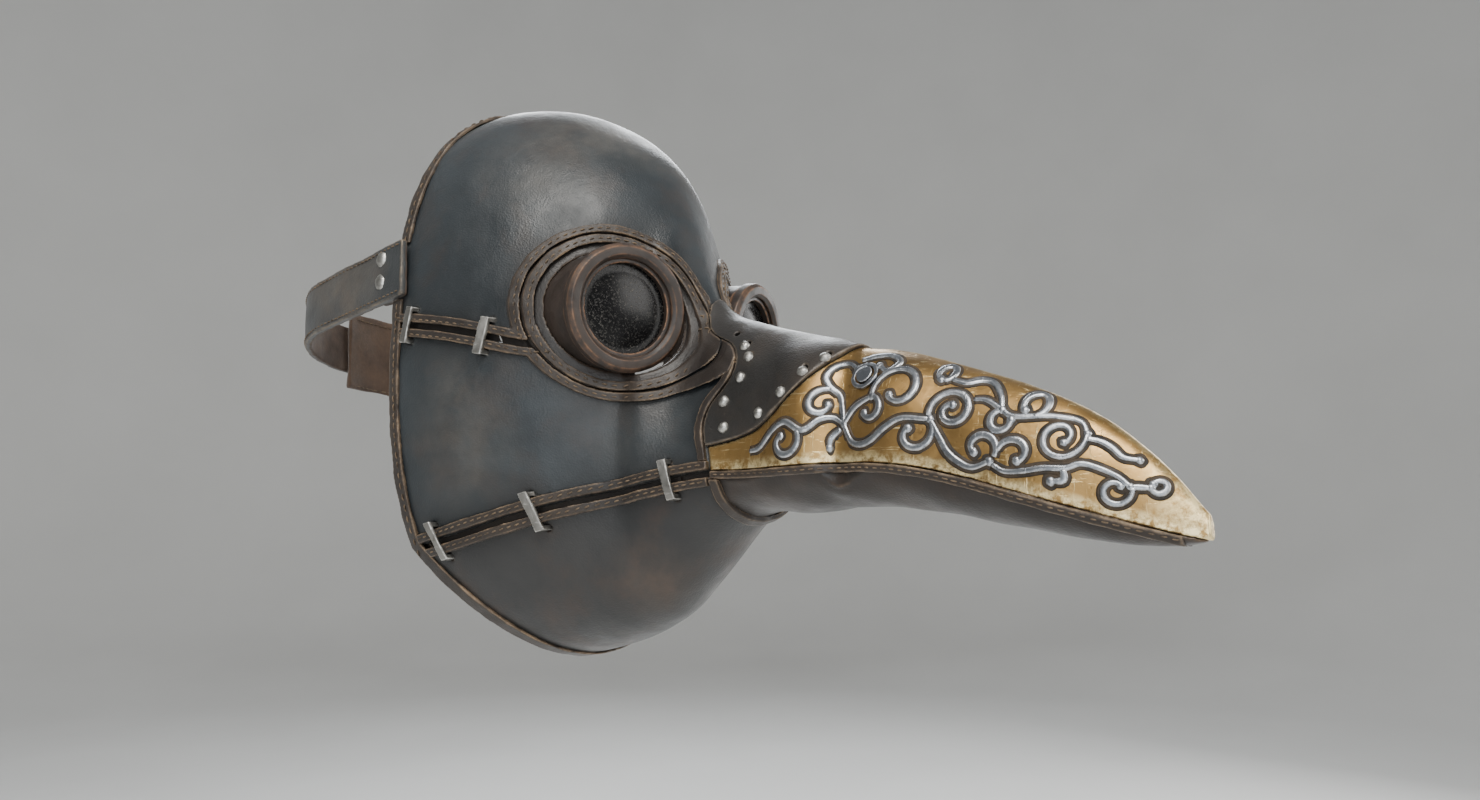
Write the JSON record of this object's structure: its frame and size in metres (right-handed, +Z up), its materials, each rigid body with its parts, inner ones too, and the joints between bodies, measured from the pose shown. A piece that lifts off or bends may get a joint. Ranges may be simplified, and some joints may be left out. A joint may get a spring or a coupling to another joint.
{
  "type": "plague doctor mask",
  "caption": "Leather plague doctor mask: domed head with two round glass eyepieces, a long hollow brass-clad beak with silver scrolls, stitched seams and a riveted head strap.",
  "frame": {"origin": "middle of the face opening, in the plane of the back rim", "axes": "+Z up, -Y the way the face looks and the beak points, +X the wearer's left"},
  "size_m": [0.1718, 0.429, 0.2516],
  "materials": {
    "slate_leather": "dark blue-grey leather with a satin sheen, paler where worn",
    "brown_leather": "brown stitched strip with pale worn edges",
    "lining_leather": "plain dark lining leather",
    "nose_leather": "near-black leather",
    "dark_brown_leather": "very dark brown leather",
    "suede": "brown suede",
    "bronzed_brown": "dark brown coat over copper, worn through at the edges",
    "gasket_rubber": "black rubber",
    "dusty_glass": "near-black glass with dust",
    "beak_brass": "warm scratched brass with bright chipped edges",
    "scroll_silver": "polished silver grey",
    "aged_silver": "aged silver, rough"
  },
  "bodies": {
    "mask": {"beak_brass_plate": "beak_brass", "beak_collar": "lining_leather", "beak_lining": "lining_leather", "beak_root_welt": "brown_leather", "beak_stud": "scroll_silver", "beak_stud_ring": "scroll_silver", "beak_underside": "dark_brown_leather", "beak_welt_left": "brown_leather", "beak_welt_right": "brown_leather", "cheek_lower_welt_left": "brown_leather", "cheek_lower_welt_right": "brown_leather", "cheek_panel_left": "slate_leather", "cheek_panel_right": "slate_leather", "cheek_upper_welt_left": "brown_leather", "cheek_upper_welt_right": "brown_leather", "chin_panel": "slate_leather", "chin_welt_left": "brown_leather", "chin_welt_right": "brown_leather", "eyepiece_backing_left": "lining_leather", "eyepiece_backing_right": "lining_leather", "eyepiece_seat_left": "slate_leather", "eyepiece_seat_right": "slate_leather", "eyepiece_tube_left": "bronzed_brown", "eyepiece_tube_right": "bronzed_brown", "eyepiece_welt_left": "brown_leather", "eyepiece_welt_right": "brown_leather", "head_strap": "slate_leather", "lens_gasket_left": "gasket_rubber", "lens_gasket_right": "gasket_rubber", "lens_left": "dusty_glass", "lens_retainer_left": "bronzed_brown", "lens_retainer_right": "bronzed_brown", "lens_right": "dusty_glass", "lower_seam_staples": "aged_silver", "lower_seam_tape_left": "lining_leather", "lower_seam_tape_right": "lining_leather", "nose_plate": "nose_leather", "nose_plate_rivets": "aged_silver", "nose_root_welt_left": "brown_leather", "nose_root_welt_right": "brown_leather", "rim_binding": "brown_leather", "scroll_inlay_left": "scroll_silver", "scroll_inlay_right": "scroll_silver", "skull_panel": "slate_leather", "skull_welt_left": "brown_leather", "skull_welt_right": "brown_leather", "strap_back_pad": "suede", "strap_rivets": "aged_silver", "upper_seam_staples": "aged_silver", "upper_seam_tape_left": "lining_leather", "upper_seam_tape_right": "lining_leather"},
    "ring_right": {"eyepiece_ring_right": "bronzed_brown"},
    "ring_left": {"eyepiece_ring_left": "bronzed_brown"}
  },
  "joints": [
    {"name": "eyepiece_ring_right_turn", "type": "hinge", "parent": "mask", "child": "ring_right", "pos_m": [-0.039, -0.0983, 0.006], "axis": [-0.2741, -0.956, -0.1045], "range_deg": [0, 60]},
    {"name": "eyepiece_ring_left_turn", "type": "hinge", "parent": "mask", "child": "ring_left", "pos_m": [0.039, -0.0983, 0.006], "axis": [0.2741, -0.956, -0.1045], "range_deg": [0, 60]}
  ]
}
